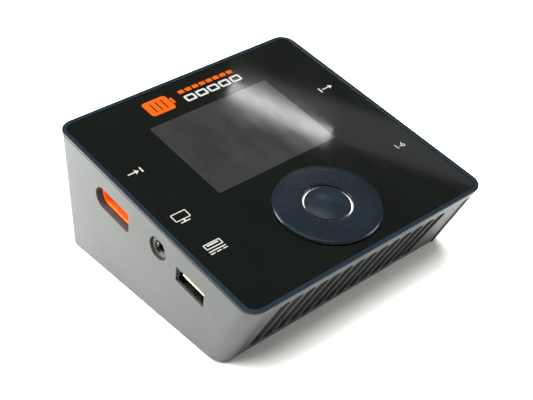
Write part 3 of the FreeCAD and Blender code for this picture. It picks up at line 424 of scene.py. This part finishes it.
jack_low, jack_high = slope_box("link_jack")
contact_low, contact_high = slope_box("jack_contact")
jack_mouth = Vector((jack_low.x, (jack_low.y + jack_high.y) / 2, (contact_low.z + contact_high.z) / 2))
# x square to the panel, y up the slope, z out of the left wall
jack_frame = slope @ Matrix.Translation(jack_mouth * MM) @ Matrix.Rotation(math.radians(-90), 4, "Y")
LIP_INSIDE, LIP_OUTSIDE, LIP_RISE = 2.85, 3.40, 0.06
lip_profile = [(LIP_INSIDE, -0.15), (LIP_OUTSIDE, -0.15), (LIP_OUTSIDE, LIP_RISE - 0.04),
               (LIP_OUTSIDE - 0.12, LIP_RISE), (LIP_INSIDE + 0.12, LIP_RISE), (LIP_INSIDE, LIP_RISE - 0.04)]
lathe("jack_lip", lip_profile, MATERIALS["case_plastic"], CHARGER, jack_frame, None, 96)


def jack_spring():
    """The curved gold leaf that presses on a plug, lying against the far side of the bore."""
    made = bmesh.new()
    rings = []
    for depth, radius in ((-0.6, 1.74), (-1.2, 1.60), (-2.4, 1.42), (-3.6, 1.50), (-4.6, 1.70)):
        outer = arc((0, 0), radius, 62, 118, 10)
        inner = arc((0, 0), radius - 0.14, 118, 62, 10)
        points = [Vector((x, y, depth)) * MM for x, y in outer + inner]
        rings.append([made.verts.new(jack_frame @ point) for point in points])
    for first, second in zip(rings, rings[1:]):
        for k in range(len(first)):
            after = (k + 1) % len(first)
            made.faces.new([first[k], first[after], second[after], second[k]])
    made.faces.new(rings[0])
    made.faces.new(rings[-1])
    bmesh.ops.recalc_face_normals(made, faces=made.faces)
    mesh = bpy.data.meshes.new("jack_spring")
    made.to_mesh(mesh)
    made.free()
    new_piece("jack_spring", mesh, MATERIALS["gold_contact"], CHARGER, None)
    smooth(mesh, 40)


jack_spring()


# ---------------------------------------------------------------- glossy panel and window

panel_low, panel_high = slope_box("top_panel")
glass_low, glass_high = slope_box("display_glass")
PANEL_TOP = panel_high.z
PRINT_THICK = 0.03
WINDOW_WIDE, WINDOW_LONG = 52.6, 39.6
PANEL_CORNER = 3.9
ring_low, ring_high = slope_box("dial_ring")
RING_RADIUS = ring_high.x
DIAL_CLEARANCE = 0.4
window_s = (glass_low.y + glass_high.y) / 2
panel_middle = (0, (panel_low.y + panel_high.y) / 2)
panel_edge = round_rect(panel_high.x - panel_low.x, panel_high.y - panel_low.y, PANEL_CORNER, panel_middle,
                        12)
window_edge = round_rect(WINDOW_WIDE, WINDOW_LONG, 0.5, (0, window_s))
dial_opening = arc((0, dial_s), RING_RADIUS + DIAL_CLEARANCE, 0, 360, 144)[:-1]
flat_piece("panel_sheet", [panel_edge, window_edge, dial_opening], panel_low.z, PANEL_TOP,
           MATERIALS["panel_gloss"], 0.08, "top_panel")
flat_piece("window_pane", [window_edge], panel_low.z, PANEL_TOP, WINDOW)


# ---------------------------------------------------------------- dial and button

dial_frame = Matrix.Translation(dial_centre) @ Matrix.Rotation(tilt, 4, "X")
RING_TOP = ring_high.z
RING_HOLE = 8.54
HUB_WALL = 1.7
FLANGE_BOTTOM = RING_TOP - 1.7
ring_profile = (
    [(RING_HOLE, ring_low.z), (RING_HOLE, RING_TOP - 0.32)]
    + arc((RING_HOLE + 0.32, RING_TOP - 0.32), 0.32, 180, 90, 5)[1:]
    + [(RING_HOLE + 1.4, RING_TOP - 0.02), (13.5, RING_TOP - 0.06), (16.6, RING_TOP - 0.14)]
    + arc((RING_RADIUS - 0.9, RING_TOP - 1.06), 0.9, 84, 0, 8)
    + [(RING_RADIUS, FLANGE_BOTTOM), (RING_HOLE + HUB_WALL, FLANGE_BOTTOM),
       (RING_HOLE + HUB_WALL, ring_low.z)])
lathe("dial_disc", ring_profile, MATERIALS["dial_plastic"], DIAL, dial_frame, "dial_ring")

button_low, button_high = slope_box("centre_button")
BUTTON_RADIUS = 7.9
BUTTON_EDGE = 0.45
crown = button_high.z
sphere_radius = (BUTTON_RADIUS ** 2 + (crown - BUTTON_EDGE) ** 2) / (2 * (crown - BUTTON_EDGE))
edge_angle = math.degrees(math.asin((BUTTON_RADIUS - 0.35) / sphere_radius))
dome = arc((0, crown - sphere_radius), sphere_radius, 90, 90 - edge_angle, 14)
dome[0] = (0, crown)
last = dome[-1]
button_profile = (
    dome + arc((last[0], last[1] - 0.35), 0.35, 75, 0, 5)
    + [(BUTTON_RADIUS, -1.0), (BUTTON_RADIUS, button_low.z), (0, button_low.z)])
lathe("button_cap", button_profile, MATERIALS["button_plastic"], BUTTON, dial_frame, "centre_button")


# ---------------------------------------------------------------- printed marks

def print_mark(name, outlines, material=INK_WHITE):
    return flat_piece(name, outlines, PANEL_TOP - 0.005, PANEL_TOP + PRINT_THICK, material)


def frame_of(wide, long, line, radius, centre):
    """The two outlines of a rectangular frame with a line of even width."""
    inner_radius = max(radius - line, 0.05)
    return [round_rect(wide, long, radius, centre),
            round_rect(wide - 2 * line, long - 2 * line, inner_radius, centre)]


def bar(x_from, x_to, s_from, s_to, radius=0.25):
    return round_rect(x_to - x_from, s_to - s_from, radius, ((x_from + x_to) / 2, (s_from + s_to) / 2))


def arrow(tail, tip, s, half, head, line):
    """A level arrow from tail to tip."""
    neck = tip - math.copysign(head, tip - tail)
    return [(tail, s - line / 2), (neck, s - line / 2), (neck, s - half), (tip, s),
            (neck, s + half), (neck, s + line / 2), (tail, s + line / 2)]


def number_mark(name, text, size, x, s):
    """Plain digits on the panel, cut as flat shapes."""
    digits = bpy.data.curves.new(name, "FONT")
    digits.body = text
    digits.size = size * MM
    digits.extrude = PRINT_THICK / 2 * MM
    mesh = flattened(name, digits, Vector((x, s, PANEL_TOP + PRINT_THICK / 2)) * MM)
    return new_piece(name, mesh, INK_WHITE)


battery = [round_rect(10.4, 8.2, 1.4, (-16.0, 96.6)), bar(-10.5, -9.4, 95.0, 98.2, 0.3)]
battery += [bar(-18.6 + 2.4 * k, -18.1 + 2.4 * k, 94.0, 99.2, 0.2) for k in range(3)]
print_mark("battery_figure", battery, INK_ORANGE)
print_mark("title_dashes", [bar(-5.6 + 3.2 * k, -3.1 + 3.2 * k, 98.0, 99.9, 0.35) for k in range(8)],
           INK_ORANGE)
cells = []
for k in range(5):
    cells += frame_of(4.5, 3.6, 0.85, 0.8, (-3.3 + 5.25 * k, 94.6))
print_mark("title_cells", cells)
print_mark("input_arrow", [arrow(-46.3, -41.9, 72.2, 1.15, 1.5, 0.5), bar(-41.2, -40.6, 70.9, 73.5, 0.15)])
print_mark("output_arrow", [arrow(41.0, 45.6, 71.6, 1.15, 1.5, 0.5), bar(39.6, 40.2, 70.3, 72.9, 0.15)])
print_mark("screen_figure", frame_of(6.0, 3.7, 0.4, 0.45, (-43.4, 47.0)) + [
    bar(-45.2, -41.6, 43.9, 44.35, 0.1), bar(-43.75, -43.05, 44.35, 45.15, 0.05)])
print_mark("socket_figure", frame_of(6.6, 2.5, 0.42, 0.35, (-42.6, 31.0))
           + [bar(-44.8, -40.4, 31.0, 31.6, 0.1)])
print_mark("direct_current_figure", [bar(-45.9, -39.3, 28.5, 28.95, 0.1)] + [
    bar(-45.9 + 2.4 * k, -44.1 + 2.4 * k, 27.5, 27.95, 0.1) for k in range(3)])
number_mark("cell_numbers", "1-6", 3.4, 40.2, 31.0)


# ---------------------------------------------------------------- camera

camera_data = bpy.data.cameras.new("camera")
camera = bpy.data.objects.new("camera", camera_data)
bpy.context.scene.collection.objects.link(camera)
camera.location = (-0.20356, -0.24278, 0.24740)
camera.rotation_euler = [math.radians(angle) for angle in (54.6415, 0.7710, -40.3801)]
camera_data.lens = 73.734
camera_data.sensor_width = 36.0
camera_data.clip_start = 0.01
camera_data.clip_end = 20.0
bpy.context.scene.camera = camera


# ---------------------------------------------------------------- floor and light

def make_floor():
    mesh = bpy.data.meshes.new("floor")
    made = bmesh.new()
    bmesh.ops.create_grid(made, x_segments=8, y_segments=8, size=3.0)
    made.to_mesh(mesh)
    made.free()
    floor = bpy.data.objects.new("floor", mesh)
    bpy.context.scene.collection.objects.link(floor)
    material, tree, bsdf = shader("floor_paper")
    tone = spread(tree, noise(tree, 160.0, 2.0), 0.0, 1.0)
    paper = blend_colour(tree, tone, (0.87, 0.87, 0.865, 1), (0.9, 0.9, 0.9, 1))
    tree.links.new(paper, bsdf.inputs["Base Color"])
    set_sockets(bsdf, {"Roughness": 0.85, "Specular IOR Level": 0.1})
    mesh.materials.append(material)


def area_light(name, location, target, wide, high, power, colour=(1, 1, 1)):
    lamp = bpy.data.lights.new(name, "AREA")
    lamp.shape = "RECTANGLE"
    lamp.size = wide
    lamp.size_y = high
    lamp.energy = power
    lamp.color = colour
    holder = bpy.data.objects.new(name, lamp)
    bpy.context.scene.collection.objects.link(holder)
    holder.location = location
    holder.rotation_mode = "QUATERNION"
    holder.rotation_quaternion = (Vector(target) - Vector(location)).to_track_quat("-Z", "Y")
    return holder


def sun(name, towards_light, angle, strength, colour=(1, 1, 1)):
    lamp = bpy.data.lights.new(name, "SUN")
    lamp.angle = math.radians(angle)
    lamp.energy = strength
    lamp.color = colour
    holder = bpy.data.objects.new(name, lamp)
    bpy.context.scene.collection.objects.link(holder)
    holder.rotation_mode = "QUATERNION"
    holder.rotation_quaternion = (-Vector(towards_light)).to_track_quat("-Z", "Y")
    return holder


make_floor()
world = bpy.data.worlds.new("studio")
world.use_nodes = True
world.node_tree.nodes["Background"].inputs["Color"].default_value = (0.95, 0.98, 1.0, 1.0)
world.node_tree.nodes["Background"].inputs["Strength"].default_value = 0.12
bpy.context.scene.world = world
bpy.context.scene.view_settings.view_transform = "Standard"

# the main light is kept out of reflections, and a faint one beside it gives the edges their highlights
top_light = sun("top_light", (-0.14, 0.10, 0.98), 62, 10.0, (1.0, 0.985, 0.96))
top_light.visible_glossy = False
sun("edge_highlight", (-0.14, 0.10, 0.98), 62, 1.3, (1.0, 0.985, 0.96))


def seen_in_panel(x, s, distance):
    """Where a light has to be for the camera to see it in the panel at this place of the slope."""
    spot = on_slope(x, s, PANEL_TOP)
    ray = (spot - camera.location).normalized()
    mirrored = ray - 2 * ray.dot(up_slope) * up_slope
    return spot + mirrored * distance


def streak_light(name, start, end, distance, width, power):
    """A strip whose reflection in the panel runs between two places of the slope."""
    first = seen_in_panel(*start, distance)
    second = seen_in_panel(*end, distance)
    middle = (first + second) / 2
    aim = on_slope((start[0] + end[0]) / 2, (start[1] + end[1]) / 2)
    lamp = area_light(name, middle, aim, (second - first).length, width, power)
    back = (middle - aim).normalized()
    along = (second - first).normalized()
    across = back.cross(along).normalized()
    along = across.cross(back)
    lamp.rotation_quaternion = Matrix((along, across, back)).transposed().to_quaternion()
    return lamp


streak_light("streak_strip", (12.5, 91.0), (25.0, 50.0), 0.9, 0.018, 0.055)
streak_light("streak_edge", (12.0, 92.0), (66.0, -8.0), 0.9, 0.045, 0.028)
area_light("right_panel", (0.34, -0.30, 0.14), (0.05, -0.05, 0.02), 0.2, 0.2, 1.3, (1.0, 0.97, 0.92))
area_light("left_panel", (-0.20, 0.19, 0.10), (-0.05, 0.05, 0.03), 0.12, 0.12, 1.5, (1.0, 0.99, 0.97))
